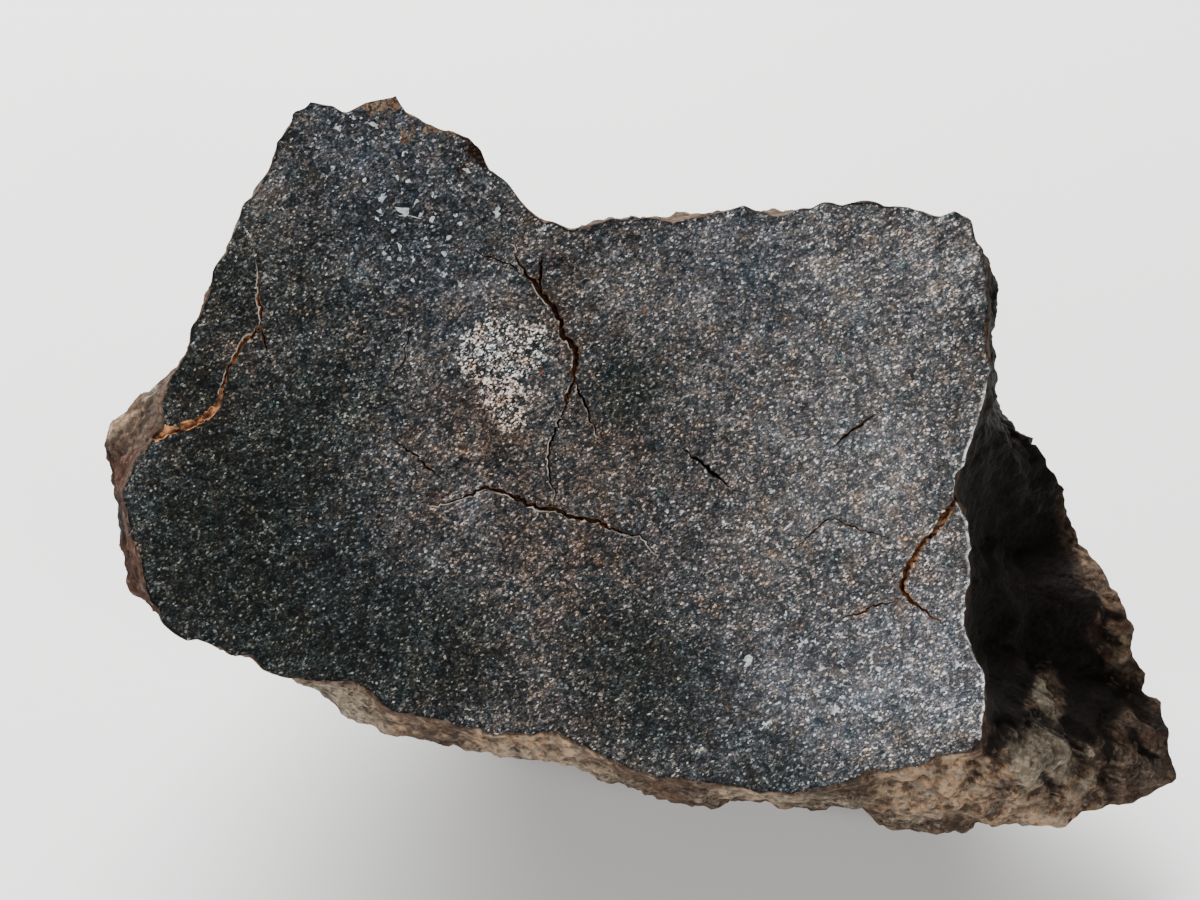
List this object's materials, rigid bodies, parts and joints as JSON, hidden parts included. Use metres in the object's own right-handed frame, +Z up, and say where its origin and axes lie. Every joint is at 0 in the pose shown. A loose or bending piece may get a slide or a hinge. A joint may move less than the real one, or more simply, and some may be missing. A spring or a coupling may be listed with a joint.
{
  "type": "winonaite meteorite end cut",
  "caption": "Winonaite meteorite end cut: a dark metal-flecked stone sawn and polished on one side, rough and weathered on the back, lying face up.",
  "frame": {"origin": "centre of the bounding box in plan, on the surface that the stone lies on", "axes": "+X along the length of the cut face, to the right as the face is looked at; +Z up, with the cut face turned up and towards -Y; +Y towards the rough back"},
  "size_m": [0.0835, 0.0472, 0.0477],
  "materials": {
    "meteorite_stone": "polished dark cut face with fine metal specks, matt weathered brown crust on the outside"
  },
  "bodies": {
    "root": {"meteorite_end_cut": "meteorite_stone"}
  },
  "joints": []
}
